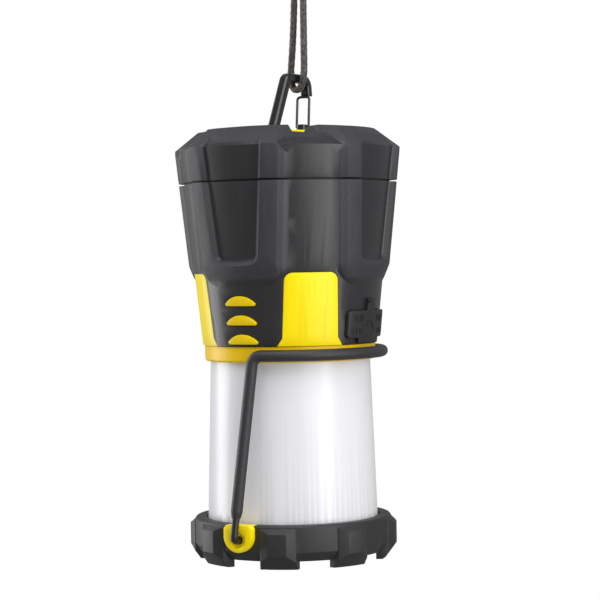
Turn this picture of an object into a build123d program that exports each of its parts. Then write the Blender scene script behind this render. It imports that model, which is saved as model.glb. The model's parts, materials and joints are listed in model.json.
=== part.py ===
from build123d import *
from math import cos, hypot, pi, radians, sin, tan

# Hanging camping lantern with a wire bail, three buttons, a port cover and a carabiner.
# Everything is drawn in millimetres in the lantern's own frame: Z is the axis, z = 0 is the
# underside of the feet, -Y faces the buttons and +X faces the port cover. At export it is
# moved so that the origin is the top of the hanging eye, where the whole thing is held.

# ---- Heights along the axis
ring_low = 3.9
ring_top = 21.2
diffuser_top = 99.0
collar_top = 106.8
panel_top = 142.3
pad_low = 136.0
pad_full = 146.0
seam_z = 187.0
seam_gap = 1.0
shoulder_z = 203.4
gap_top = 210.2
pad_top = 213.8
well_floor = 198.0

# ---- Housing walls
wall_r_seam = 51.8
draft = 0.1035
grip_rise = 3.0
skin = 2.0
core_wall = 2.0
cover_wall = 2.6
fit = 0.2
well_r = 25.0
gap_bend = (43.5, 209.6)
pad_bend = (44.5, 213.0)
rim_r = 36.0

# ---- Grip pads and their recesses
pad_start = 14.0
pad_half_low = 29.8
pad_half_high = 33.0
bevel_deg = 30.0
pad_corner = 12.0
roof_half_low = 26.1
roof_half_high = 22.6
notch_half = 5.8
notch_spread = 0.297
recess_half_top = 15.7
recess_half_low = 10.2
recess_low = 148.5
recess_corner = 1.2
recess_bevel = 50.0
recess_depth = 2.7
recess_end_half = 14.6
recess_end_r = 50.4
recess_end_z = 207.2

# ---- Yellow windows in the lower body
window_half_top = 13.2
window_half_low = 13.8
window_corner = 4.0
window_flare = 3.0
window_flare_h = 4.0

# ---- Diffuser, collar and base
diffuser_r_low = 42.4
diffuser_r_top = 39.9
diffuser_wall = 2.0
diffuser_low = 9.6
collar_r = 42.7
ring_r = 49.0
ring_inner_r = 43.3
lug_r = 51.8
lug_count = 8
lug_half = 4.25
lug_side = 4.5
shelf_top = 9.6
shelf_h = 2.0
shelf_r = 30.0
plate_h = 3.4

# ---- Bail
pivot_z = 14.1
pivot_y = 55.0
bail_r = 46.0
bail_z = 102.6
wire_d = 3.6
sleeve_d = 5.7
sleeve_start = 28.0
sleeve_taper = 3.0
bail_bend = 4.6
bail_arc_deg = 75.0
pin_clear = 0.06
clip_half = 7.9
clip_low = 8.2
clip_top = 21.5

# ---- Buttons
button_half = 8.5
button_h = 4.8
button_zs = {"top": 129.0, "middle": 119.7, "bottom": 110.4}
button_proud = 0.9
button_gap = 0.25
button_travel = 1.0
flange_grow = 0.7
flange_h = 1.2

# ---- Port cover
cover_half = 16.5
cover_z0 = 110.0
cover_z1 = 123.4
stem_half = 3.2
stem_top = 129.0
tab_half = 9.0
tab_low = 107.6
cover_thick = 1.8
cover_lift = 0.15
hinge_z = 127.4

# ---- Carabiner, in the Y-Z plane
frame_w = 4.5
frame_t = 5.5
frame_low = 205.2
frame_top = 239.8
gate_y = 15.7
gate_z = 215.5
gate_top_y = 17.0
gate_top_z = 231.0
gate_wire = 1.3
gate_half = 3.5
spine_low_y = -16.6
spine_top_y = 0.4
nose_y = 20.1
nose_z = 231.4

# ---- Anchor arch
arch_d = 6.0
arch_half = 18.5
arch_z = 210.8
arch_drop = 1.2

# ---- Hanging cord
cord_d = 3.7
knot_z = 290.0
knot_h = 13.0
knot_r = 6.2
knot_xy = (0.6, 14.6)
cord_route = [
    (2.6, 14.2, 286.5),
    (3.5, 12.4, 262.0),
    (5.6, 9.0, 234.3),
    (-5.6, 12.6, 234.3),
    (-3.2, 13.8, 262.0),
    (-2.5, 14.2, 286.5),
]
eye_route = [
    (-1.6, 14.2, 293.5),
    (-5.6, 13.6, 301.5),
    (-6.2, 13.6, 311.0),
    (0.6, 14.6, 318.4),
    (7.4, 15.6, 311.0),
    (6.8, 15.6, 301.5),
    (2.8, 15.0, 293.5),
]


# ---- Helpers
def lathe(points):
    """A solid turned about the lantern's axis from (radius, height) points."""
    return revolve(Plane.XZ * make_face(Polyline(*points, close=True)), Axis.Z)


def ring(outer, inner, low, high):
    """A plain ring or disc about the lantern's axis."""
    points = [(inner, low), (outer, low), (outer, high), (inner, high)]
    return lathe(points)


def slab(x0, x1, y0, y1, z0, z1):
    """A box given by its limits."""
    centre = Pos((x0 + x1) / 2, (y0 + y1) / 2, (z0 + z1) / 2)
    return centre * Box(x1 - x0, y1 - y0, z1 - z0)


def post(radius, low, high, x=0.0, y=0.0):
    """An upright round bar."""
    return Pos(x, y, (low + high) / 2) * Cylinder(radius, high - low)


def radial_prism(outline, start, depth, taper=0.0):
    """An outline drawn in (across, height), pushed outwards along +X from x = start."""
    plane = Plane(origin=(start, 0, 0), x_dir=(0, 1, 0), z_dir=(1, 0, 0))
    return extrude(plane * outline, amount=depth, taper=taper)


def around(solid, angles):
    """Copies of a solid turned about the axis, as one compound result."""
    total = None
    for angle in angles:
        turned = Rot(0, 0, angle) * solid
        total = turned if total is None else total + turned
    return total


def group(solids):
    """Separate solids that share one node."""
    return Compound(children=[item for one in solids for item in one.solids()])


def wall_r(z):
    """Outer radius of the plain housing wall."""
    return wall_r_seam + draft * (z - seam_z)


def tube_along(path, diameter):
    """A round bar swept along a path of runs and tangent arcs."""
    start = path @ 0
    section = Plane(origin=start, z_dir=path % 0) * Circle(diameter / 2)
    return sweep(section, path=path)


def arc_radii(points):
    """Largest tidy arc for each corner of a free cord's route."""
    radii = []
    for before, here, after in zip(points, points[1:], points[2:]):
        back = Vector(here) - Vector(before)
        ahead = Vector(after) - Vector(here)
        turn = radians(back.get_angle(ahead))
        radii.append(0.45 * min(back.length, ahead.length) / tan(turn / 2))
    return radii


cardinals = [0, 90, 180, 270]
diagonals = [45, 135, 225, 315]

# ---- Grip shell: the outer shape that the housing skin and the top cover share
def floor_r(z):
    """Radius of the recess floor."""
    return wall_r(z) + grip_rise - recess_depth


def pad_walls():
    """Bevel-sided block that limits the upright part of one grip pad."""
    slope = tan(radians(bevel_deg))

    def half_width(z, half_deg):
        half = radians(half_deg)
        return wall_r(z) * sin(half) + (wall_r(z) * cos(half) - pad_start) * slope

    wide_low = half_width(pad_low, pad_half_low)
    rate = (half_width(shoulder_z, pad_half_high) - wide_low) / (shoulder_z - pad_low)
    reach = (wall_r(pad_low) - pad_start) * slope
    low = pad_low - reach + 0.4
    high = pad_top + 60
    half_low = wide_low + rate * (low - pad_low)
    half_high = wide_low + rate * (high - pad_low)
    outline = make_face(Polyline((-half_low, low), (half_low, low), (half_high, high), (-half_high, high), close=True))
    outline = fillet(outline.vertices().sort_by(Axis.Y)[:2], pad_corner + reach)
    return radial_prism(outline, pad_start, 60 - pad_start, bevel_deg)


def sloped_prism(low, high, half_low, half_high, sink, depth, span, taper):
    """Trapezoid block pushed out of a slope that runs inwards and up, between two (x, z) points.

    Its half widths belong to those two points. It starts below the slope by sink, and span gives how
    far it runs before the first point and past it."""
    run = Vector(high[0] - low[0], 0, high[1] - low[1])
    rate = (half_high - half_low) / run.length
    along = run.normalized()
    normal = Vector(along.Z, 0, -along.X)
    grow = sink * tan(radians(taper))
    corners = [(side * (half_low + rate * v + grow), v) for side, v in ((-1, span[0]), (1, span[0]), (1, span[1]), (-1, span[1]))]
    origin = Vector(low[0], 0, low[1]) - normal * sink
    plane = Plane(origin=origin, x_dir=(0, 1, 0), z_dir=normal)
    return extrude(plane * make_face(Polyline(*corners, close=True)), amount=depth, taper=taper)


def pad_roof():
    """Bevel-sided block that limits the sloping top of one grip pad."""
    low = ((wall_r(shoulder_z) + grip_rise) * cos(radians(27.7)), shoulder_z + 0.5)
    high = (pad_bend[0] * cos(radians(30)), pad_bend[1])
    return sloped_prism(low, high, roof_half_low, roof_half_high, 90, 94, (-150, 85), bevel_deg)


def recess_cutter():
    """Widening block that hollows one pad, down to a floor that follows the wall and the slope."""
    start = floor_r(recess_low) * cos(radians(12.2)) - 0.2
    slope = tan(radians(recess_bevel))
    low = recess_low + (floor_r(recess_low) - start) * slope
    top_x = floor_r(shoulder_z) * cos(radians(17))
    half_low = recess_half_low - 0.2 * slope
    half_high = recess_half_top - (top_x - start) * slope
    high = shoulder_z + 12
    outline = make_face(Polyline((-half_low, low), (half_low, low), (half_high, high), (-half_high, high), close=True))
    outline = fillet(outline.vertices().sort_by(Axis.Y)[:2], recess_corner)
    block = radial_prism(outline, start, 14, -recess_bevel)
    roof_low = (top_x, shoulder_z + 0.3)
    roof_high = (recess_end_r * cos(radians(17)), recess_end_z)
    block += sloped_prism(roof_low, roof_high, recess_half_top, recess_end_half, 0.6, 10, (-4, 20), -recess_bevel)
    floor = [(0, pad_low), (floor_r(pad_low), pad_low), (floor_r(shoulder_z + 0.3), shoulder_z + 0.3)]
    floor += [(recess_end_r, recess_end_z), (recess_end_r - 3.0, pad_top), (0, pad_top)]
    return block - lathe(floor)


def grip_shell():
    """Wall, pads and recesses in one closed outer shape, with the well open at the top."""
    low = collar_top + 0.2
    wall_points = [(0, low), (wall_r(low), low), (wall_r(shoulder_z), shoulder_z), gap_bend, (rim_r, gap_top), (0, gap_top)]
    pad_points = [(0, pad_low), (wall_r(pad_low), pad_low), (wall_r(pad_full) + grip_rise, pad_full)]
    pad_points += [(wall_r(shoulder_z) + grip_rise, shoulder_z + 0.5), pad_bend, (rim_r, pad_top), (0, pad_top)]
    pad = (lathe(pad_points) & pad_walls() & pad_roof()) - recess_cutter()
    near, far = notch_half - notch_spread * (rim_r - 20), notch_half + notch_spread * (60 - rim_r)
    notch_plan = make_face(Polyline((20, -near), (60, -far), (60, far), (20, near), close=True))
    notch = extrude(Plane.XY.offset(gap_top) * notch_plan, amount=12, taper=-bevel_deg)
    shell = lathe(wall_points) + around(pad, cardinals) - around(notch, diagonals)
    well = lathe([(0, well_floor), (well_r - 1.2, well_floor), (well_r, pad_top + 1), (0, pad_top + 1)])
    return shell - well


shell = grip_shell()
cover_low = seam_z + seam_gap / 2
skin_top = seam_z - seam_gap / 2


def window_prism(grow=0.0):
    """Arched window of the yellow core, seen through the black skin, on +X."""
    top = panel_top + grow
    low = collar_top - 1
    knee = collar_top + window_flare_h
    half_top = window_half_top + grow
    half_low = window_half_low + grow
    corners = [(-half_low - window_flare, low), (half_low + window_flare, low), (half_low, knee)]
    corners += [(half_top, top), (-half_top, top), (-half_low, knee)]
    outline = make_face(Polyline(*corners, close=True))
    outline = fillet(outline.vertices().sort_by(Axis.Y)[-2:], window_corner + grow)
    return radial_prism(outline, 20, 40)


def half_moon(grow=0.0):
    """Button outline: flat below, one low arc above."""
    half = button_half + grow
    low = -button_h / 2 - grow
    high = button_h / 2 + grow
    lip = low + 1.0
    edge = Polyline((-half, lip), (-half + 0.8, low), (half - 0.8, low), (half, lip))
    crown = ThreePointArc((half, lip), (0, high), (-half, lip))
    return make_face(edge.edges() + crown.edges())


def port_outline(grow=0.0, top=hinge_z - 0.2):
    """Flat outline of the port cover: plate, upper stem and lower tab."""
    plate = Pos(0, (cover_z0 + cover_z1) / 2) * RectangleRounded(
        2 * (cover_half + grow), cover_z1 - cover_z0 + 2 * grow, 2.0
    )
    stem = Pos(0, (cover_z1 - 2 + top) / 2) * Rectangle(2 * (stem_half + grow), top - cover_z1 + 2)
    tab_h = cover_z0 + 2 - tab_low
    tab = Pos(0, tab_low + tab_h / 2) * Rectangle(2 * (tab_half + grow), tab_h)
    return plate + stem + tab


nodes = {}

# ---- Top cover
cavity = lathe([
    (0, cover_low - 1),
    (wall_r(cover_low - 1) - cover_wall, cover_low - 1),
    (wall_r(shoulder_z) - cover_wall, shoulder_z - 1.2),
    (rim_r - 1.5, gap_top - cover_wall),
    (well_r + cover_wall, gap_top - cover_wall),
    (well_r + cover_wall, well_floor - cover_wall),
    (0, well_floor - cover_wall),
])
top_cover = (shell & ring(80, 0, cover_low, pad_top + 2)) - cavity
boss_r = 38.0
boss_out = 3.4
screw_r = 1.5
cover_bosses = around(post(boss_out, cover_low + 4, gap_top - cover_wall - 1.0, boss_r), diagonals)
screw_bores = around(post(screw_r, cover_low, cover_low + 12, boss_r), diagonals)
nodes["top_cover"] = (top_cover + cover_bosses) - screw_bores

# ---- Housing skin and core
band = lathe([
    (wall_r(collar_top + 0.2) - skin, collar_top + 0.2),
    (wall_r(collar_top + 0.2), collar_top + 0.2),
    (wall_r(panel_top + 1), panel_top + 1),
    (wall_r(panel_top + 1) - skin, panel_top + 1),
])
skin_inner = lathe([
    (0, collar_top - 1),
    (wall_r(collar_top - 1) - skin, collar_top - 1),
    (wall_r(skin_top + 1) - skin, skin_top + 1),
    (0, skin_top + 1),
])
windows = around(window_prism(0.15), diagonals)
overmold = (shell & ring(80, 0, collar_top - 1, skin_top)) - skin_inner - windows

core_low = collar_top + 0.2
lip_top = cover_low + 2.4
lip_r = wall_r(cover_low) - cover_wall - fit
core_points = [
    (wall_r(core_low) - skin - core_wall, core_low),
    (wall_r(core_low) - skin, core_low),
    (wall_r(skin_top) - skin, skin_top),
    (lip_r, skin_top),
    (lip_r, lip_top),
    (lip_r - 1.4, lip_top),
    (wall_r(skin_top) - skin - core_wall, skin_top - 1),
]
floor_h = 2.5
core = lathe(core_points) + (band & around(window_prism(), diagonals))
core += ring(wall_r(core_low) - skin - 1, 35.6, core_low, core_low + floor_h)
boss_low = 150.0
rib_end = wall_r(boss_low + 2) - skin - 0.6
core_boss = post(boss_out, boss_low, cover_low + 3.8, boss_r)
core_boss += slab(boss_r, rib_end, -1.2, 1.2, boss_low + 2, skin_top - 2)
core_bosses = around(core_boss, diagonals)
core += core_bosses - around(post(screw_r + 0.2, 149, 200, boss_r), diagonals)

button_cutters = []
for height in button_zs.values():
    button_cutters.append(Rot(0, 0, -90) * radial_prism(Pos(0, height) * half_moon(button_gap), 25, 40))

# ---- Port sockets and their openings
usb_w = 14.4
usb_h = 6.9
usb_depth = 13.0
usb_y = -7.6
usb_z = 117.0
micro_w = 9.0
micro_h = 3.3
micro_depth = 8.0
micro_y = 8.4
socket_face = 40.2
socket_gap = 0.25
pocket = []
for across, width, height in ((usb_y, usb_w, usb_h), (micro_y, micro_w, micro_h)):
    half_w = width / 2 + socket_gap
    half_h = height / 2 + socket_gap
    pocket.append(slab(30, 60, across - half_w, across + half_w, usb_z - half_h, usb_z + half_h))

core -= slab(-10.6, 10.6, 36 - 2 * wall_r(core_low), -34, core_low - 1, core_low + floor_h + 1) & ring(39.0, 0, 0, 200)
for cutter in button_cutters + pocket:
    overmold -= cutter
    core -= cutter
nodes["housing_overmold"] = overmold
nodes["housing_core"] = core

# ---- Seal in the seam
seal_r = wall_r(seam_z) - 0.9
nodes["cover_gasket"] = ring(seal_r, lip_r + 0.1, skin_top, cover_low)

# ---- Collar and diffuser
diffuser_lip = collar_top - 3.2
nodes["diffuser_collar"] = lathe([
    (diffuser_r_top + fit, diffuser_top),
    (collar_r - 0.8, diffuser_top),
    (collar_r - 0.1, diffuser_top + 0.9),
    (collar_r, collar_top),
    (35.6, collar_top),
    (35.6, diffuser_lip + 0.2),
    (diffuser_r_top + fit, diffuser_lip + 0.2),
])
diffuser_slope = (diffuser_r_low - diffuser_r_top) / (diffuser_top - ring_top)


def diffuser_r(z):
    """Outer radius of the tapered diffuser."""
    return diffuser_r_low - diffuser_slope * (z - ring_top)


nodes["diffuser"] = lathe([
    (diffuser_r(diffuser_low) - diffuser_wall, diffuser_low),
    (diffuser_r(diffuser_low), diffuser_low),
    (diffuser_r(diffuser_top), diffuser_top),
    (diffuser_r(diffuser_top), diffuser_lip),
    (diffuser_r(diffuser_lip) - diffuser_wall, diffuser_lip),
])

# ---- Base ring with its lugs, base plate and reflector
clip_back = ring_inner_r + 0.9
leg_lean = (pivot_y - bail_r) / (bail_z - pivot_z)
clip_reach = hypot(clip_half, clip_top - pivot_z)
clip_face = pivot_y - clip_reach * leg_lean - wire_d / 2 - 0.2
ring_body = lathe([
    (shelf_r, shelf_top - shelf_h),
    (ring_inner_r, shelf_top - shelf_h),
    (ring_inner_r, ring_low),
    (ring_r - 2.8, ring_low),
    (ring_r, 8.4),
    (ring_r, ring_top - 0.8),
    (ring_r - 0.8, ring_top),
    (ring_inner_r, ring_top),
    (ring_inner_r, shelf_top),
    (shelf_r, shelf_top),
])
lug_turned = lathe([
    (ring_inner_r + 0.4, 0),
    (46.6, 0),
    (lug_r, 7.0),
    (lug_r, 17.5),
    (47.5, ring_top),
    (ring_inner_r + 0.4, ring_top),
])
lug_plan = [(ring_inner_r - 5, lug_half + lug_side + 1.5), (ring_r - 0.4, lug_half + lug_side), (lug_r, lug_half)]
lug_plan += [(lug_r + 5, lug_half - 2)]
lug_plan += [(x, -y) for x, y in reversed(lug_plan)]
lug = lug_turned & extrude(make_face(Polyline(*lug_plan, close=True)), amount=ring_top)
lug_angles = [22.5 + 360 / lug_count * i for i in range(lug_count)]
base_ring = ring_body + around(lug, lug_angles)
base_boss_r = 37.6
base_boss = around(post(2.2, shelf_top - 0.5, 14, base_boss_r), diagonals)
base_ring += base_boss
base_ring -= around(post(1.1, ring_low, 13, base_boss_r), diagonals)


def clip_outline(grow=0.0):
    """Pivot clip outline in (across, height): flat top, round bottom."""
    half = clip_half + grow
    low = clip_low - grow
    knee = low + half * 0.92
    top = clip_top + grow
    side = Polyline((-half, knee), (-half, top - 1.5), (-half + 1.5, top), (half - 1.5, top), (half, top - 1.5), (half, knee))
    belly = ThreePointArc((half, knee), (0, low), (-half, knee))
    return make_face(side.edges() + belly.edges())


pin_bore = radial_prism(Pos(0, pivot_z) * Circle(wire_d / 2 + pin_clear), 40, 30)
clip = radial_prism(clip_outline(), clip_back, clip_face - clip_back) - pin_bore
clip = clip - radial_prism(Pos(0, pivot_z) * Circle(wire_d / 2 + 1.4), clip_face - 1.6, 5, -30)
clip_pocket = radial_prism(clip_outline(0.1), clip_back - 0.1, 20)
base_ring = base_ring - Rot(0, 0, -90) * clip_pocket - Rot(0, 0, 90) * clip_pocket
base_ring = base_ring - Rot(0, 0, -90) * pin_bore - Rot(0, 0, 90) * pin_bore
nodes["base_ring"] = base_ring
nodes["pivot_clip_front"] = Rot(0, 0, -90) * clip
nodes["pivot_clip_rear"] = Rot(0, 0, 90) * clip

plate_low = shelf_top - shelf_h - plate_h
screw_sunk = 2.3
plate_r = ring_inner_r - fit
base_plate = ring(plate_r, 0, plate_low, plate_low + plate_h)
base_plate += ring(20, 17.5, plate_low + plate_h, plate_low + plate_h + 1.5)
base_plate -= around(post(1.5, 0, 20, base_boss_r), diagonals)
nodes["base_plate"] = base_plate - around(post(2.5, 0, plate_low + screw_sunk, base_boss_r), diagonals)
nodes["reflector"] = lathe([
    (0, shelf_top), (34, shelf_top), (34, shelf_top + 1.2), (26, shelf_top + 3), (12, 24), (3, 40), (0, 41),
])

# ---- Screws
screw_solids = []
for angle in diagonals:
    shank = post(1.05, plate_low + 1, 12, base_boss_r) + post(2.3, plate_low + 0.2, plate_low + screw_sunk, base_boss_r)
    socket = Pos(base_boss_r, 0, plate_low + 0.1) * extrude(RegularPolygon(1.1, 6), amount=1)
    screw_solids.append(Rot(0, 0, angle) * (shank - socket))
nodes["base_screws"] = group(screw_solids)
screw_solids = []
for angle in diagonals:
    shank = post(screw_r - 0.02, 147.6, 192, boss_r) + post(2.8, 146, 149.9, boss_r)
    screw_solids.append(Rot(0, 0, angle) * shank)
nodes["cover_screws"] = group(screw_solids)

# ---- Light engine under the battery bay
board_low = collar_top - 2.0
board_h = 1.6
nodes["led_board"] = ring(34.0, 2.5, board_low, board_low + board_h)
led = slab(20.3, 23.8, -1.75, 1.75, board_low - 1.6, board_low)
nodes["leds"] = group([Rot(0, 0, 30 * i) * led for i in range(12)])
sink_low = board_low + board_h
sink = ring(35.0, 3.0, sink_low, sink_low + 2.6)
for i in range(12):
    sink += Rot(0, 0, 30 * i) * slab(10, 24.5, -0.8, 0.8, sink_low + 2.4, sink_low + 9)
nodes["heat_sink"] = sink - slab(-5, 5, -36, -29, sink_low - 1, sink_low + 12)

# ---- Battery pack
cell_r = 9.2
cell_place = 14.6
cell_low = 120.5
cell_h = 65.0
tray = ring(25.6, 0, cell_low - 3, cell_low) + ring(25.6, 24.2, cell_low, cell_low + 14)
nodes["battery_tray"] = tray
cells = [post(cell_r, cell_low, cell_low + cell_h, cell_place * cos(radians(a)), cell_place * sin(radians(a)))
         for a in diagonals]
nodes["battery_cells"] = group(cells)
strip_low = cell_low + cell_h
cell_offset = cell_place * sin(radians(45))
strip = slab(-cell_offset - 3, cell_offset + 3, -3, 3, strip_low, strip_low + 0.3)
nodes["cell_links"] = group([Pos(0, cell_offset, 0) * strip, Pos(0, -cell_offset, 0) * strip])
clamp = ring(25.6, 6.0, strip_low + 0.3, strip_low + 2.3)
nodes["battery_clamp"] = clamp

# ---- Control board with its switches
board_y = -30.0
nodes["control_board"] = slab(-17, 17, board_y, board_y + 1.6, 106 + 4.5, 146)
switch_top = board_y - 3.5
plunger_top = switch_top - 0.8
switches = []
for height in button_zs.values():
    body = slab(-3, 3, switch_top, board_y, height - 3, height + 3)
    plunger = Pos(0, (plunger_top + switch_top) / 2, height) * Rot(90, 0, 0) * Cylinder(1.7, 0.8)
    switches.append(body + plunger)
nodes["tact_switches"] = group(switches)

# ---- Buttons: curved cap outside, flange behind the wall, stem to the switch
for name, height in button_zs.items():
    face = lathe([
        (0, height - 8), (wall_r(height - 8) + button_proud, height - 8),
        (wall_r(height + 8) + button_proud, height + 8), (0, height + 8),
    ])
    back = wall_r(height - button_h / 2) - skin - core_wall - 3.4
    cap = radial_prism(Pos(0, height) * half_moon(), back, 20) & face
    cap += radial_prism(Pos(0, height) * half_moon(flange_grow), back, flange_h)
    stem_start = -plunger_top + button_travel + 0.05
    stem = Pos((stem_start + back) / 2 + 0.1, 0, height) * Rot(0, 90, 0) * Cylinder(1.5, back - stem_start + 0.2)
    nodes["button_" + name] = Rot(0, 0, -90) * (cap + stem)

# ---- Sockets, port board and port cover
usb_shell = slab(socket_face - usb_depth, socket_face, usb_y - usb_w / 2, usb_y + usb_w / 2,
                 usb_z - usb_h / 2, usb_z + usb_h / 2)
usb_shell -= slab(socket_face - usb_depth + 2, socket_face + 1, usb_y - 6.3, usb_y + 6.3, usb_z - 2.6, usb_z + 2.6)
usb_tongue = slab(socket_face - usb_depth + 1.9, socket_face - 1, usb_y - 5.6, usb_y + 5.6, usb_z + 0.3, usb_z + 2.0)
nodes["usb_output_socket"] = usb_shell + usb_tongue
micro_shell = slab(socket_face - micro_depth, socket_face, micro_y - micro_w / 2, micro_y + micro_w / 2,
                   usb_z - micro_h / 2, usb_z + micro_h / 2)
micro_shell -= slab(socket_face - micro_depth + 1.5, socket_face + 1, micro_y - 4.1, micro_y + 4.1,
                    usb_z - 1.25, usb_z + 1.25)
micro_tongue = slab(socket_face - micro_depth + 1.4, socket_face - 0.8, micro_y - 3.3, micro_y + 3.3,
                    usb_z - 0.35, usb_z + 0.35)
nodes["charging_socket"] = micro_shell + micro_tongue
port_board_x = socket_face - usb_depth - 1.6
nodes["port_board"] = slab(port_board_x, port_board_x + 1.6, -16, 16, 110.5, 126) + slab(
    port_board_x + 1.5, socket_face - micro_depth, micro_y - 4, micro_y + 4, usb_z - 1.6, usb_z + 1.6
)

cover_lathe = lathe([
    (wall_r(100) + cover_lift, 100),
    (wall_r(100) + cover_lift + cover_thick, 100),
    (wall_r(140) + cover_lift + cover_thick, 140),
    (wall_r(140) + cover_lift, 140),
])
port_cover = cover_lathe & radial_prism(port_outline(), 30, 40)
nodes["port_cover"] = port_cover
hinge_x = wall_r(hinge_z) + cover_lift + cover_thick
anchor_outline = Pos(0, (hinge_z + 0.2 + stem_top) / 2) * Rectangle(2 * stem_half, stem_top - hinge_z - 0.2)
nodes["port_cover_anchor"] = lathe([
    (wall_r(100), 100),
    (wall_r(100) + cover_lift + cover_thick, 100),
    (wall_r(140) + cover_lift + cover_thick, 140),
    (wall_r(140), 140),
]) & radial_prism(anchor_outline, 30, 40)

# ---- Anchor arch in the well
arch_path = FilletPolyline(
    (-arch_half, 0, well_floor + 1), (-arch_half, 0, arch_z - arch_drop), (0, 0, arch_z),
    (arch_half, 0, arch_z - arch_drop), (arch_half, 0, well_floor + 1), radius=[5, 60, 5],
)
foot_r = well_r - 2.0
anchor = tube_along(arch_path, arch_d) + ring(foot_r, 0, well_floor, well_floor + 1.4)
nodes["anchor_loop"] = anchor

# ---- Bail
leg_angle = radians(bail_arc_deg)
arc_end = Vector(bail_r * cos(leg_angle), -bail_r * sin(leg_angle), bail_z)
tangent = Vector(sin(leg_angle), cos(leg_angle), 0)
corner = arc_end - tangent * 5.2
pin_end = Vector(0, -(clip_back + 0.2), pivot_z)
elbow = Vector(0, -pivot_y, pivot_z)


def flip(point):
    """The same point on the rear side."""
    return Vector(point.X, -point.Y, point.Z)


def bail_path(start_points):
    """Front leg, crosspiece arc round the collar and rear leg as one wire."""
    radii = [2.6, bail_bend] if len(start_points) == 2 else bail_bend
    front = FilletPolyline(*start_points, corner, arc_end, radius=radii)
    rear = FilletPolyline(*[flip(p) for p in (*start_points, corner, arc_end)], radius=radii)
    cross = ThreePointArc(arc_end, (bail_r, 0, bail_z), flip(arc_end))
    return Wire(front.edges() + cross.edges() + rear.edges())


leg = (corner - elbow).normalized()
sleeve_point = elbow + leg * ((sleeve_start - pivot_z) / leg.Z)
bail_wire_path = bail_path([pin_end, elbow])
bail_wire = sweep(Plane(origin=pin_end, z_dir=(0, -1, 0)) * Circle(wire_d / 2), path=bail_wire_path)
nodes["bail_wire"] = bail_wire
sleeve = sweep(Plane(origin=sleeve_point, z_dir=leg) * Circle(sleeve_d / 2), path=bail_path([sleeve_point]))
for side in (1, -1):
    base = Vector(sleeve_point.X, sleeve_point.Y * side, sleeve_point.Z)
    along = Vector(leg.X, leg.Y * side, leg.Z)
    plane = Plane(origin=base - along * sleeve_taper, z_dir=along)
    cone = loft([plane * Circle(wire_d / 2 + 0.3), Plane(origin=base + along * 0.1, z_dir=along) * Circle(sleeve_d / 2)])
    sleeve += cone
nodes["bail_sleeve"] = sleeve - bail_wire

# ---- Carabiner
frame_points = [
    (0, gate_y, gate_z + 1.2), (0, gate_y - 1.6, frame_low), (0, spine_low_y, frame_low),
    (0, spine_top_y, frame_top), (0, nose_y - 0.8, frame_top), (0, nose_y, nose_z),
]
frame_path = FilletPolyline(*frame_points, radius=[6, 6, 3.6, 4.6])
section = Plane(origin=frame_path @ 0, x_dir=(1, 0, 0), z_dir=frame_path % 0) * RectangleRounded(
    frame_t, frame_w, 1.6
)
carabiner = sweep(section, path=frame_path)
gate_axis = Plane.YZ * Pos(gate_y, gate_z) * Circle(gate_wire / 2 + 0.1)
carabiner -= extrude(gate_axis, amount=10, both=True)
nodes["carabiner_frame"] = carabiner
gate_in = frame_t / 2 - 1.2
gate_path = FilletPolyline(
    (gate_in, gate_y, gate_z), (gate_half, gate_y, gate_z), (gate_half, gate_top_y, gate_top_z),
    (-gate_half, gate_top_y, gate_top_z), (-gate_half, gate_y, gate_z), (-gate_in, gate_y, gate_z),
    radius=[0.8, 1.6, 1.6, 0.8],
)
nodes["wire_gate"] = tube_along(gate_path, gate_wire)

# ---- Cord, knot and eye
for name, route in (("hang_cord", cord_route), ("hang_eye", eye_route)):
    radii = arc_radii(route)
    print(name, "radii", [round(r, 1) for r in radii])
    path = FilletPolyline(*route, radius=radii)
    tube = tube_along(path, cord_d)
    print(name, "length", round(path.length, 1), "tube fill", round(tube.volume / (path.length * pi * cord_d**2 / 4), 3))
    nodes[name] = tube
knot = Pos(knot_xy[0], knot_xy[1], knot_z) * Cylinder(knot_r, knot_h)
knot = fillet(knot.edges().filter_by(GeomType.CIRCLE), 3.4)
for name in ("hang_cord", "hang_eye"):
    knot -= nodes[name]
nodes["hang_knot"] = knot

# ---- Export, moved so that the eye's inner top is the origin
eye_origin = Vector(eye_route[3][0], eye_route[3][1], 314.0)
for name, solid in nodes.items():
    export_step(Pos(-eye_origin.X, -eye_origin.Y, -eye_origin.Z) * solid, f"parts/{name}.step")
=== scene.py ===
# %% [markdown]
# A camping lantern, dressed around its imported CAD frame
# The frame brings every hard part at its true size and place. This script rounds the moulded edges,
# adds the woven cord, and gives each piece the finish of the material it is really made of.
# %% Load the frame
import json
from math import asin, cos, pi, radians, sin

import bpy
from mathutils import Matrix, Vector


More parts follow.
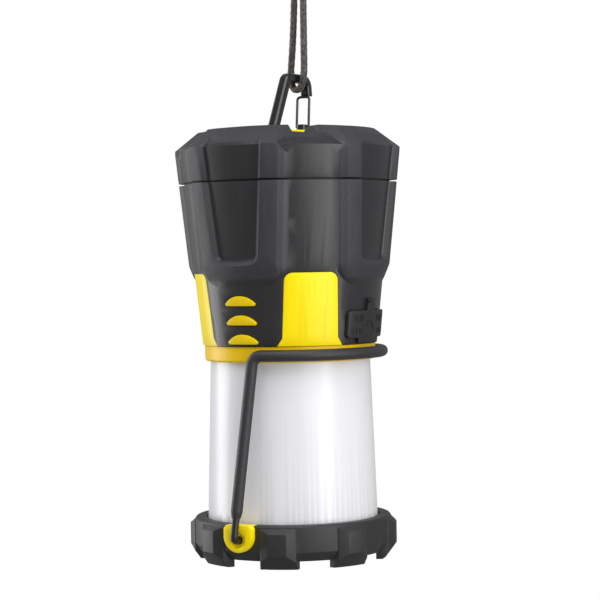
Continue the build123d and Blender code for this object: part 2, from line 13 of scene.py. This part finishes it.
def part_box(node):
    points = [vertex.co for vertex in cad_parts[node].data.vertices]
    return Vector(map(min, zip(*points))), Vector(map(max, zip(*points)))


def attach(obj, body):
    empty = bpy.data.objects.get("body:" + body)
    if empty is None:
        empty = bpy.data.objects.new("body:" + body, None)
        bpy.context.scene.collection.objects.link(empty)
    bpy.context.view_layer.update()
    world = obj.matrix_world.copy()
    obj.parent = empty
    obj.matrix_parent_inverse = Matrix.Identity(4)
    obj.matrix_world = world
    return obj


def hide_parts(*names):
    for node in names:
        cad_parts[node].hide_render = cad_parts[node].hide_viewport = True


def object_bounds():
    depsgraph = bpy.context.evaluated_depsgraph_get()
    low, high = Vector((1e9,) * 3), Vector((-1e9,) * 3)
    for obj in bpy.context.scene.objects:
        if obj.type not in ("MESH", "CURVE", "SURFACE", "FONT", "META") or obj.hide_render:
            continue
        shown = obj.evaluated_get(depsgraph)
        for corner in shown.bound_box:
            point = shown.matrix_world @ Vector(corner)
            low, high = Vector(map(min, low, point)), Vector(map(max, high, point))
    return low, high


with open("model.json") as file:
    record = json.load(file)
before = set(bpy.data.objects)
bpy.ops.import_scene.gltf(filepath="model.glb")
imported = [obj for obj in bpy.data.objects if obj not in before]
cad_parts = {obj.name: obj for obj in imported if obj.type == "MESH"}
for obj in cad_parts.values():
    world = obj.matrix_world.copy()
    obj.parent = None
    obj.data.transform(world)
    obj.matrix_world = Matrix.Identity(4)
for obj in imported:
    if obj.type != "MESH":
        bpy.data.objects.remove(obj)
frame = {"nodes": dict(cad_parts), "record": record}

cad_low, cad_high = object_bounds()
nodes = frame["nodes"]
bodies = frame["record"]["behaviour"]["bodies"]
body_of = {node: body for body, members in bodies.items() for node in members}
print("frame parts:", len(nodes))

# %% [markdown]
# The lantern hangs, so the frame's origin is up in the cord's eye. It is easier to think from the
# lantern's own axis, with heights counted from under its feet, so one helper turns such millimetres
# into the frame's metres.
# %% A place on the lantern, in millimetres
MM = 0.001
diffuser_low, diffuser_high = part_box("diffuser")
axis_x = (diffuser_low.x + diffuser_high.x) / 2
axis_y = (diffuser_low.y + diffuser_high.y) / 2
feet_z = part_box("base_ring")[0].z


def place(x, y, z):
    """Point in the frame's metres from millimetres about the lantern's axis and above its feet."""
    return Vector((axis_x + x * MM, axis_y + y * MM, feet_z + z * MM))


print("lantern axis at", round(axis_x, 4), round(axis_y, 4), "feet at", round(feet_z, 4))

# %% [markdown]
# The camera stands about a metre away, level with the middle of the housing, with a long lens, so that
# upright lines stay nearly upright. The lantern hangs a touch out of plumb, which a small roll shows.
# Places are in millimetres and angles in degrees, and only the far clip is in metres.
# %% Camera
VIEW_AZIMUTH = 31.5
VIEW_DISTANCE = 1010
VIEW_HEIGHT = 146
AIM_HEIGHT = 128.4
AIM_ASIDE = 5.3
ROLL = -1.0
LENS = 121
SENSOR_WIDTH = 36
FAR_CLIP = 20

turn = radians(VIEW_AZIMUTH)
aside = Vector((cos(turn), sin(turn), 0)) * AIM_ASIDE
away = Vector((sin(turn), -cos(turn), 0)) * VIEW_DISTANCE
camera = bpy.data.objects.new("camera", bpy.data.cameras.new("camera"))
bpy.context.scene.collection.objects.link(camera)
camera.data.lens = LENS
camera.data.sensor_width = SENSOR_WIDTH
camera.data.clip_end = FAR_CLIP
camera.location = place(away.x, away.y, VIEW_HEIGHT)
look = place(aside.x, aside.y, AIM_HEIGHT) - camera.location
roll = Matrix.Rotation(radians(ROLL), 3, "Z").to_quaternion()
camera.rotation_euler = (look.to_track_quat("-Z", "Y") @ roll).to_euler()
bpy.context.scene.camera = camera

# %% [markdown]
# Colours are written as the sRGB hex values a paint chart gives. Shaders work in linear light, so one
# function turns one into the other.
# %% Colour helper


def colour(hex_value):
    """Linear RGBA of an sRGB hex colour."""
    channels = [int(hex_value[i:i + 2], 16) / 255 for i in (1, 3, 5)]
    linear = [c / 12.92 if c <= 0.04045 else ((c + 0.055) / 1.055) ** 2.4 for c in channels]
    return (*linear, 1.0)


# %% [markdown]
# Every finish is a small node tree. One helper adds a node with its settings and its inputs, and
# another starts a material with its shader and with coordinates centred on the lantern's axis.
# %% Material helpers


def add(tree, kind, inputs=None, **settings):
    """Adds one shader node, and fills or links its inputs."""
    node = tree.nodes.new("ShaderNode" + kind)
    for name, value in settings.items():
        setattr(node, name, value)
    for name, value in (inputs or {}).items():
        if isinstance(value, bpy.types.NodeSocket):
            tree.links.new(value, node.inputs[name])
        else:
            node.inputs[name].default_value = value
    return node


def new_finish(name, base, roughness, **sockets):
    """Starts a material: its shader, and Object coordinates from under the feet on the axis."""
    material = bpy.data.materials.new(name)
    material.use_nodes = True
    tree = material.node_tree
    shader = tree.nodes["Principled BSDF"]
    shader.inputs["Base Color"].default_value = colour(base)
    shader.inputs["Roughness"].default_value = roughness
    for socket, value in sockets.items():
        shader.inputs[socket.replace("_", " ")].default_value = value
    coordinates = add(tree, "TexCoord")
    centred = add(tree, "Mapping", {"Vector": coordinates.outputs["Object"], "Location": -place(0, 0, 0)})
    return material, tree, shader, centred.outputs["Vector"]


def grain(tree, where, size_mm, detail=2.0):
    """Noise whose bumps are about the given size across."""
    inputs = {"Vector": where, "Scale": 1 / (size_mm * MM), "Detail": detail}
    return add(tree, "TexNoise", inputs).outputs["Fac"]


def ramp(tree, value, low, high, to_low, to_high):
    """Maps a value's range to another, held at both ends."""
    inputs = {"Value": value, "From Min": low, "From Max": high, "To Min": to_low, "To Max": to_high}
    return add(tree, "MapRange", inputs).outputs["Result"]


def relief(tree, shader, height, depth_mm, strength=1.0):
    """Bumps the surface by a height from 0 to 1, of a real depth."""
    bump = add(tree, "Bump", {"Height": height, "Distance": depth_mm * MM, "Strength": strength})
    tree.links.new(bump.outputs["Normal"], shader.inputs["Normal"])


def tint(tree, shader, value, first, second):
    """Drifts the base colour between two close colours. A Mix node takes colours at inputs 6 and 7."""
    mix = add(tree, "Mix", {"Factor": value}, data_type="RGBA")
    mix.inputs[6].default_value = colour(first)
    mix.inputs[7].default_value = colour(second)
    tree.links.new(mix.outputs[2], shader.inputs["Base Color"])


# %% [markdown]
# The grip skin is a soft black elastomer, moulded over the core. The tool's spark-eroded texture covers
# the raised pads and their bevels, and the recess floors and the panels between the pads were polished.
# Pads stand outside the cone of the plain wall, so the distance from that cone tells the two apart. A
# second cone does so on the roof. It is flatter than the plain slopes between the pads, so the inner
# half of each slope takes the pads' grain too.
# %% Grip skin finish
PAD_GRAIN_MM = 0.50
PLAIN_GRAIN_MM = 0.25
PLAIN_SHARE = 0.10
GRAIN_DEPTH_MM = 0.22
WALL_R = 51.8
WALL_DRAFT = 0.1035
WALL_Z = 187.0
PAD_FADE = (0.7, 1.3)
SLOPE_R, SLOPE_Z, SLOPE_RISE = 53.5, 203.4, 0.383
ROOF_FADE = (1.2, 1.8)


def grip_finish(name, plain, grained, rough_plain, rough_grained):
    """Black moulding that is grained where it stands proud of the wall's cone."""
    material, tree, shader, where = new_finish(name, plain, rough_plain)
    flat = add(tree, "VectorMath", {0: where, 1: (1, 1, 0)}, operation="MULTIPLY")
    radius = add(tree, "VectorMath", {0: flat.outputs[0]}, operation="LENGTH").outputs["Value"]
    height = add(tree, "SeparateXYZ", {0: where}).outputs["Z"]
    foot_r = (WALL_R - WALL_DRAFT * WALL_Z) * MM
    cone = add(tree, "Math", {0: height, 1: WALL_DRAFT, 2: foot_r}, operation="MULTIPLY_ADD").outputs[0]
    proud = add(tree, "Math", {0: radius, 1: cone}, operation="SUBTRACT").outputs[0]
    on_pad = ramp(tree, proud, PAD_FADE[0] * MM, PAD_FADE[1] * MM, 0.0, 1.0)
    slope_z = (SLOPE_Z + SLOPE_R * SLOPE_RISE) * MM
    above = add(tree, "Math", {0: radius, 1: SLOPE_RISE, 2: height}, operation="MULTIPLY_ADD").outputs[0]
    on_roof = ramp(tree, above, slope_z + ROOF_FADE[0] * MM, slope_z + ROOF_FADE[1] * MM, 0.0, 1.0)
    mask = add(tree, "Math", {0: on_pad, 1: on_roof}, operation="MAXIMUM").outputs[0]
    speckle = grain(tree, where, PAD_GRAIN_MM, 3.0)
    fine = grain(tree, where, PLAIN_GRAIN_MM, 1.0)
    tall = add(tree, "Math", {0: speckle, 1: mask}, operation="MULTIPLY").outputs[0]
    both = add(tree, "Math", {0: fine, 1: PLAIN_SHARE, 2: tall}, operation="MULTIPLY_ADD").outputs[0]
    relief(tree, shader, both, GRAIN_DEPTH_MM)
    tint(tree, shader, mask, plain, grained)
    roughness = ramp(tree, mask, 0.0, 1.0, rough_plain, rough_grained)
    tree.links.new(roughness, shader.inputs["Roughness"])
    return material


skin_finish = grip_finish("grained elastomer skin", "#262528", "#303035", 0.36, 0.56)

# %% [markdown]
# The yellow parts are ABS, coloured through and moulded with a light satin texture. The pigment lets a
# little light in, which keeps the shaded side warm instead of grey.
# %% Yellow ABS finish


def yellow_finish(name, base, deep):
    """Satin yellow ABS with a faint mould texture."""
    material, tree, shader, where = new_finish(
        name, base, 0.34, Subsurface_Weight=0.12, Subsurface_Scale=0.002, Specular_IOR_Level=0.28
    )
    shader.inputs["Subsurface Radius"].default_value = (1.0, 0.7, 0.2)
    cloud = grain(tree, where, 14.0, 2.0)
    tint(tree, shader, cloud, base, deep)
    relief(tree, shader, grain(tree, where, 0.30, 2.0), 0.02)
    return material


core_finish = yellow_finish("satin yellow ABS", "#ffe700", "#fee000")
collar_finish = yellow_finish("collar yellow ABS", "#fad200", "#f4c600")

# %% [markdown]
# The diffuser is polycarbonate loaded with white, so that it glows evenly. It scatters light just under
# a smooth moulded face.
# %% Milky polycarbonate finish
milky, tree, shader, where = new_finish(
    "milky polycarbonate", "#ececef", 0.30, Subsurface_Weight=0.35, Subsurface_Scale=0.004, IOR=1.58
)
shader.inputs["Subsurface Radius"].default_value = (1.0, 1.0, 1.0)
tint(tree, shader, grain(tree, where, 30.0, 1.0), "#ededf0", "#e7e7eb")
relief(tree, shader, grain(tree, where, 5.0, 1.0), 0.010)

# %% [markdown]
# The base ring and other plain black mouldings are glass-filled nylon, with a dull fine grain.
# %% Black nylon finish
black_nylon, tree, shader, where = new_finish("fine grained black nylon", "#222225", 0.5)
tint(tree, shader, grain(tree, where, 2.5, 3.0), "#1f1f21", "#29292c")
relief(tree, shader, grain(tree, where, 0.45, 3.0), 0.10)

# %% [markdown]
# The bail is spring steel wire with a black coat, and most of it wears a dipped rubber sleeve with a
# coarse orange-peel grain that a hand can feel.
# %% Bail finishes
coated_wire, tree, shader, where = new_finish("black coated spring wire", "#1e1d1f", 0.34)
tint(tree, shader, grain(tree, where, 3.0, 2.0), "#1b1a1c", "#252426")
relief(tree, shader, grain(tree, where, 0.6, 1.0), 0.015)

sleeve_rubber, tree, shader, where = new_finish("dipped rubber sleeve", "#29272a", 0.5)
tint(tree, shader, grain(tree, where, 1.2, 2.0), "#232124", "#312f32")
relief(tree, shader, grain(tree, where, 1.0, 3.0), 0.22)

# %% [markdown]
# The carabiner is forged aluminium, tumbled smooth and anodised gloss black. Its gate is drawn steel
# wire. A metal keeps its default IOR, and the anodised film is a clear coat over a dark base.
# %% Carabiner finishes
anodised, tree, shader, where = new_finish(
    "gloss black anodised aluminium", "#0f0f11", 0.22, Metallic=0.35, Coat_Weight=0.7, Coat_Roughness=0.12
)
tint(tree, shader, grain(tree, where, 4.0, 2.0), "#0d0d0f", "#17171a")
relief(tree, shader, grain(tree, where, 1.6, 1.0), 0.008)

gate_steel, tree, shader, where = new_finish("dark drawn steel", "#54504c", 0.32, Metallic=1.0)
tint(tree, shader, grain(tree, where, 1.5, 2.0), "#4a4643", "#625d58")
relief(tree, shader, grain(tree, where, 0.3, 1.0), 0.006)

# %% [markdown]
# Inside sit ordinary parts: zinc-plated steel screws, an extruded heat sink, green circuit boards, cells
# in a blue shrink sleeve. They are seen only when a cover is taken off, so each finish is simple.
# %% Inner finishes


def plain_finish(name, first, second, roughness, grain_mm, depth_mm, **sockets):
    """A finish with a slight drift of colour and one size of grain."""
    material, tree, shader, where = new_finish(name, first, roughness, **sockets)
    tint(tree, shader, grain(tree, where, grain_mm * 6, 2.0), first, second)
    relief(tree, shader, grain(tree, where, grain_mm, 2.0), depth_mm)
    return material


zinc_steel = plain_finish("zinc plated steel", "#a4a6a8", "#8e9093", 0.3, 0.4, 0.01, Metallic=1.0)
sink_aluminium = plain_finish("extruded aluminium", "#c0c2c6", "#aaadb2", 0.35, 0.5, 0.02, Metallic=1.0)
board_green = plain_finish("solder mask", "#14562c", "#0f4423", 0.35, 0.6, 0.01)
cell_blue = plain_finish("shrink sleeve", "#2356a8", "#1c4a94", 0.3, 0.8, 0.01)
white_moulding = plain_finish("white moulding", "#e9e9ea", "#dededf", 0.45, 0.4, 0.02)
seal_rubber = plain_finish("seal rubber", "#181818", "#212121", 0.7, 0.3, 0.02)
port_rubber = plain_finish("matt port rubber", "#1a1a1b", "#212122", 0.52, 0.35, 0.03)
switch_black = plain_finish("switch body", "#1c1c1c", "#262626", 0.4, 0.3, 0.01)
led_phosphor = plain_finish("LED phosphor", "#f2e4a0", "#eadb90", 0.4, 0.3, 0.01)
button_yellow = yellow_finish("satin yellow rubber", "#f6d900", "#f0cd00")

# %% [markdown]
# A CAD part has perfectly sharp edges, and no moulded part does. The frame's meshes stay as they are, so
# each visible hard part gets a copy: its loose triangles are merged, flat areas are joined into single
# faces, and a bevel modifier rounds what is still sharp. Round wire has no edge to soften and gets no
# bevel. The copy then stands for the part.
# %% Rounded copies of hard parts
MERGE_GAP = 2e-6
FLAT_DEG = 0.6
SMOOTH_DEG = 35


def select_only(piece):
    """Makes one object the only selected and active one."""
    bpy.ops.object.select_all(action="DESELECT")
    piece.select_set(True)
    bpy.context.view_layer.objects.active = piece


def fit_piece(piece, node, finish):
    """Gives a new piece its finish and body, and lets it stand for its CAD part."""
    piece.data.materials.clear()
    piece.data.materials.append(finish)
    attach(piece, body_of[node])
    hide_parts(node)


def rounded(node, finish, width_mm, sharp_deg=30, segments=2):
    """Copy of a CAD part with its sharp edges rounded by a small bevel."""
    piece = bpy.data.objects.new(node + "_moulded", nodes[node].data.copy())
    bpy.context.scene.collection.objects.link(piece)
    select_only(piece)
    bpy.ops.mesh.customdata_custom_splitnormals_clear()
    bpy.ops.object.mode_set(mode="EDIT")
    bpy.ops.mesh.select_all(action="SELECT")
    bpy.ops.mesh.remove_doubles(threshold=MERGE_GAP)
    bpy.ops.mesh.dissolve_limited(angle_limit=radians(FLAT_DEG), use_dissolve_boundaries=False)
    bpy.ops.object.mode_set(mode="OBJECT")
    if width_mm:
        edge = piece.modifiers.new("moulded edge", "BEVEL")
        edge.width = width_mm * MM
        edge.segments = segments
        edge.limit_method = "ANGLE"
        edge.angle_limit = radians(sharp_deg)
        bpy.ops.object.modifier_apply(modifier=edge.name)
    bpy.ops.object.shade_smooth_by_angle(angle=radians(SMOOTH_DEG))
    fit_piece(piece, node, finish)
    return piece


rounded("top_cover", skin_finish, 0.5)
rounded("housing_overmold", skin_finish, 0.4)
rounded("housing_core", core_finish, 0.2)
rounded("diffuser_collar", collar_finish, 0.3)
rounded("diffuser", milky, 0.2)
rounded("base_ring", black_nylon, 0.45)
rounded("pivot_clip_front", core_finish, 0.5)
rounded("pivot_clip_rear", core_finish, 0.5)
rounded("anchor_loop", core_finish, 0.3)
rounded("carabiner_frame", anodised, 0.15)
rounded("wire_gate", gate_steel, 0)
rounded("bail_wire", coated_wire, 0)
rounded("bail_sleeve", sleeve_rubber, 0)
port_cover = rounded("port_cover", port_rubber, 0.35)
rounded("port_cover_anchor", port_rubber, 0.3)
for button in ("button_top", "button_middle", "button_bottom"):
    rounded(button, button_yellow, 0.3)

# %% [markdown]
# Small raised marks tell a thumb which socket is behind which half of the port cover: plain bars and a
# slanted stroke that mean nothing in themselves. Each is a low block laid on the cover's curved face,
# given by its place across and up, its width and height in millimetres, and its tilt in degrees.
# %% Marks on the port cover
MARKS = [(across, 119.6, 0.7, 3.2, 0) for across in (-12.4, -10.6, -8.8, -7.2)]
MARKS += [(across, 113.4, 0.7, 2.6, 12) for across in (-13.0, -11.0, -9.0, -7.4)]
MARKS += [
    (-1.6, 117.8, 3.0, 0.8, 0), (-2.8, 116.2, 2.0, 0.8, 0), (2.2, 115.6, 4.6, 0.8, 50),
    (6.4, 119.8, 0.7, 2.6, 0), (9.6, 119.6, 0.7, 3.6, -10), (11.6, 119.4, 0.7, 3.4, 0),
    (8.0, 113.2, 0.7, 2.6, 14), (10.2, 113.2, 0.7, 2.6, 14), (12.4, 113.4, 0.7, 2.6, 0),
]
COVER_RISE = 1.95
MARK_RISE = 0.28
MARK_SINK = 0.3
verts, faces = [], []
for across, height, wide, tall, tilt in MARKS:
    face_r = WALL_R + WALL_DRAFT * (height - WALL_Z) + COVER_RISE
    first = len(verts)
    for depth in (-MARK_SINK, MARK_RISE):
        for u, v in ((-1, -1), (1, -1), (1, 1), (-1, 1)):
            du = u * wide / 2 * cos(radians(tilt)) + v * tall / 2 * sin(radians(tilt))
            dv = v * tall / 2 * cos(radians(tilt)) - u * wide / 2 * sin(radians(tilt))
            a = asin((across + du) / face_r)
            r = face_r + depth + WALL_DRAFT * dv
            verts.append(place(r * cos(a), r * sin(a), height + dv))
    faces += [[first + k for k in side] for side in
              ((3, 2, 1, 0), (4, 5, 6, 7), (0, 1, 5, 4), (1, 2, 6, 5), (2, 3, 7, 6), (3, 0, 4, 7))]
mesh = bpy.data.meshes.new("port_marks")
mesh.from_pydata(verts, [], faces)
mesh.materials.append(port_rubber)
marks = bpy.data.objects.new("port_marks", mesh)
bpy.context.scene.collection.objects.link(marks)
select_only(port_cover)
marks.select_set(True)
bpy.ops.object.join()

# %% [markdown]
# The parts inside keep their CAD meshes and only take their finish.
# %% Finishes of the inner parts
inner = {
    zinc_steel: ("base_screws", "cover_screws", "cell_links", "usb_output_socket", "charging_socket"),
    sink_aluminium: ("heat_sink", "led_board"),
    board_green: ("control_board", "port_board"),
    cell_blue: ("battery_cells",),
    white_moulding: ("reflector", "battery_tray", "battery_clamp"),
    seal_rubber: ("cover_gasket",),
    switch_black: ("tact_switches",),
    led_phosphor: ("leds",),
    black_nylon: ("base_plate",),
}
for finish, members in inner.items():
    for node in members:
        nodes[node].data.materials.clear()
        nodes[node].data.materials.append(finish)

# %% [markdown]
# The cord is 3.7 mm utility cord. Its two strands carry the lantern, so they are straight and taut, and
# it turns under the carabiner's top bar. A NURBS curve drawn from the route of the frame's tube gives
# the centreline, and sixteen strands are plaited round it: eight wind each way, and each passes over
# and under the ones that cross it.
# %% Cord route
CORD_D = 3.7
CORD_ROUTE = [
    (2.6, 14.2, 286.5),
    (3.5, 12.4, 262.0),
    (5.6, 9.0, 234.3),
    (-5.6, 12.6, 234.3),
    (-3.2, 13.8, 262.0),
    (-2.5, 14.2, 286.5),
]
EYE_ROUTE = [
    (-1.6, 14.2, 293.5),
    (-5.6, 13.6, 301.5),
    (-6.2, 13.6, 311.0),
    (0.6, 14.6, 318.4),
    (7.4, 15.6, 311.0),
    (6.8, 15.6, 301.5),
    (2.8, 15.0, 293.5),
]


def centreline(name, route):
    """Points along a smooth NURBS line that is drawn from a route's points."""
    curve = bpy.data.curves.new(name, "CURVE")
    curve.dimensions = "3D"
    curve.resolution_u = 24
    spline = curve.splines.new("NURBS")
    spline.points.add(len(route) - 1)
    for point, spot in zip(spline.points, route):
        point.co = (*place(*spot), 1)
    spline.order_u = 3
    spline.use_endpoint_u = True
    holder = bpy.data.objects.new(name, curve)
    line = [v.co.copy() for v in bpy.data.meshes.new_from_object(holder).vertices]
    bpy.data.objects.remove(holder)
    bpy.data.curves.remove(curve)
    return line


def spaced(line, step):
    """The same line with its points evenly spaced."""
    out = [line[0].copy()]
    left = step
    for start, end in zip(line, line[1:]):
        run = (end - start).length
        at = left
        while at <= run:
            out.append(start.lerp(end, at / run))
            at += step
        left = at - run
    return out


def line_length(line):
    """Length along a line of points."""
    return sum((b - a).length for a, b in zip(line, line[1:]))


def carried_frames(line):
    """Two cross directions at each point, carried along so that they don't twist."""
    side = None
    frames = []
    for i, spot in enumerate(line):
        ahead = (line[min(i + 1, len(line) - 1)] - line[max(i - 1, 0)]).normalized()
        side = ahead.orthogonal() if side is None else side - ahead * side.dot(ahead)
        side.normalize()
        frames.append((spot, side.copy(), ahead.cross(side)))
    return frames


# %% [markdown]
# A strand of the plait is a thin flattened tube. Its centre winds round the line at a fixed pitch while
# its distance from the middle rises and falls, once for each pair of strands that it crosses.
# %% Plaited cord
STRANDS = 8
PITCH_MM = 15.0
STRAND_W = 0.62
STRAND_T = 0.36
STEP_MM = 0.45
WAVE_MM = 0.14
CORE_GAP_MM = 0.1
CORE_SIDES, STRAND_SIDES = 12, 6
STRAND_SMOOTH_DEG = 60


def plait(name, line, diameter_mm):
    """Mesh of a braided cord along a line: a core and sixteen crossing strands, with closed ends."""
    line = spaced(line, STEP_MM * MM)
    frames = carried_frames(line)
    verts, faces = [], []

    def tube(centres, rings, flat):
        """Adds one closed tube whose section is wide across the surface and thin through it."""
        first = len(verts)
        for spot, outward, sideways in centres:
            for k in range(rings):
                a = 2 * pi * k / rings
                verts.append(spot + outward * (flat[0] * cos(a)) + sideways * (flat[1] * sin(a)))
        count = len(centres)
        for i in range(count - 1):
            for k in range(rings):
                a, b = first + i * rings + k, first + i * rings + (k + 1) % rings
                faces.append((a, b, b + rings, a + rings))
        faces.append([first + k for k in reversed(range(rings))])
        faces.append([first + (count - 1) * rings + k for k in range(rings)])

    outer = diameter_mm / 2 * MM
    middle = outer - (STRAND_T + WAVE_MM) * MM
    wave = WAVE_MM * MM
    core_r = middle - CORE_GAP_MM * MM
    tube(frames, CORE_SIDES, (core_r, core_r))
    for sense in (1, -1):
        for strand in range(STRANDS):
            centres = []
            for i, (spot, side, up) in enumerate(frames):
                wound = 2 * pi * i * STEP_MM / PITCH_MM
                angle = 2 * pi * strand / STRANDS + sense * wound
                over = cos(STRANDS * wound + (pi if sense < 0 else 0) + pi * strand)
                outward = side * cos(angle) + up * sin(angle)
                sideways = side * -sin(angle) + up * cos(angle)
                centres.append((spot + outward * (middle + wave * over), outward, sideways))
            tube(centres, STRAND_SIDES, (STRAND_T * MM, STRAND_W * MM))
    mesh = bpy.data.meshes.new(name)
    mesh.from_pydata(verts, [], faces)
    piece = bpy.data.objects.new(name, mesh)
    bpy.context.scene.collection.objects.link(piece)
    select_only(piece)
    bpy.ops.object.mode_set(mode="EDIT")
    bpy.ops.mesh.select_all(action="SELECT")
    bpy.ops.mesh.normals_make_consistent(inside=False)
    bpy.ops.object.mode_set(mode="OBJECT")
    bpy.ops.object.shade_smooth_by_angle(angle=radians(STRAND_SMOOTH_DEG))
    return piece


cord_finish, tree, shader, where = new_finish(
    "charcoal braided polyester", "#37322f", 0.62, Sheen_Weight=0.25
)
fleck = grain(tree, where, 1.1, 2.0)
tint(tree, shader, ramp(tree, fleck, 0.42, 0.62, 0.0, 1.0), "#282423", "#5f5654")
relief(tree, shader, grain(tree, where, 0.16, 1.0), 0.05)

cord_line = centreline("cord line", CORD_ROUTE)
eye_line = centreline("eye line", EYE_ROUTE)
print("cord", round(line_length(cord_line) / MM, 1), "mm")
print("eye", round(line_length(eye_line) / MM, 1), "mm")

# %% [markdown]
# Above the carabiner the two strands run into a stopper knot. It is drawn as almost two and a half
# turns of the same plaited cord round them, as a barrel knot looks from outside.
# %% Cord pieces
KNOT_X, KNOT_Y = 0.6, 14.6
KNOT_LOW, KNOT_R = 285.6, 4.1
KNOT_TALL = 8.8
KNOT_TURNS = 2.4
KNOT_POINTS = 60
knot_route = []
for i in range(KNOT_POINTS):
    share = i / (KNOT_POINTS - 1)
    swing = 2 * pi * KNOT_TURNS * share
    rise = KNOT_LOW + KNOT_TALL * share
    knot_route.append(place(KNOT_X + KNOT_R * cos(swing), KNOT_Y + KNOT_R * sin(swing), rise))

cord = plait("hanging_cord", cord_line, CORD_D)
eye = plait("hanging_eye", eye_line, CORD_D)
knot = plait("barrel_knot", knot_route, CORD_D)
for piece, node in ((cord, "hang_cord"), (eye, "hang_eye"), (knot, "hang_knot")):
    fit_piece(piece, node, cord_finish)
spaced(cord_line, 1.0 * MM)
spaced(eye_line, 1.0 * MM)

# %% [markdown]
# Soft studio light in front of a white wall. Only the camera sees the wall at full strength, so that the
# black mouldings have something darker to reflect. A narrow strip on the right is there for the long
# highlight, and a broad softbox beside it fills. One behind on the left lifts that edge, and one
# overhead lights the roof. Places are in millimetres, and the lights' own sizes in metres.
# %% Light
SURROUND = 0.34
LIGHT_AIM_HEIGHT = 120
world = bpy.data.worlds.new("studio")
bpy.context.scene.world = world
world.use_nodes = True
surround = world.node_tree
seen = add(surround, "LightPath").outputs["Is Camera Ray"]
wall = surround.nodes["Background"]
wall.inputs["Color"].default_value = (1, 1, 1, 1)
surround.links.new(ramp(surround, seen, 0.0, 1.0, SURROUND, 1.0), wall.inputs["Strength"])
bpy.context.scene.view_settings.view_transform = "Standard"


def softbox(name, azimuth, distance, height, wide, tall, watts):
    """A tall area light that faces the lantern from an azimuth in degrees."""
    light = bpy.data.lights.new(name, "AREA")
    light.shape = "RECTANGLE"
    light.size = wide
    light.size_y = tall
    light.energy = watts
    lamp = bpy.data.objects.new(name, light)
    bpy.context.scene.collection.objects.link(lamp)
    a = radians(azimuth)
    lamp.location = place(sin(a) * distance, -cos(a) * distance, height)
    lamp.rotation_euler = (place(0, 0, LIGHT_AIM_HEIGHT) - lamp.location).to_track_quat("-Z", "Y").to_euler()
    return lamp


softbox("highlight strip", VIEW_AZIMUTH + 50, 900, 200, 0.14, 1.1, 1.9)
softbox("right softbox", VIEW_AZIMUTH + 40, 1100, 220, 0.9, 1.1, 6.2)
softbox("left softbox", VIEW_AZIMUTH - 112, 1000, 220, 0.5, 1.2, 8.0)
softbox("top softbox", VIEW_AZIMUTH, 500, 1000, 1.1, 0.9, 8.0)


# %% [markdown]
# Last, the sizes are printed: the frame's own box and the box of everything shown.
# %% Sizes, and the finished scene
shown_low, shown_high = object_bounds()
cad_size = [round(v, 4) for v in cad_high - cad_low]
shown_size = [round(v, 4) for v in shown_high - shown_low]
print("cad", cad_size, "visual", shown_size)
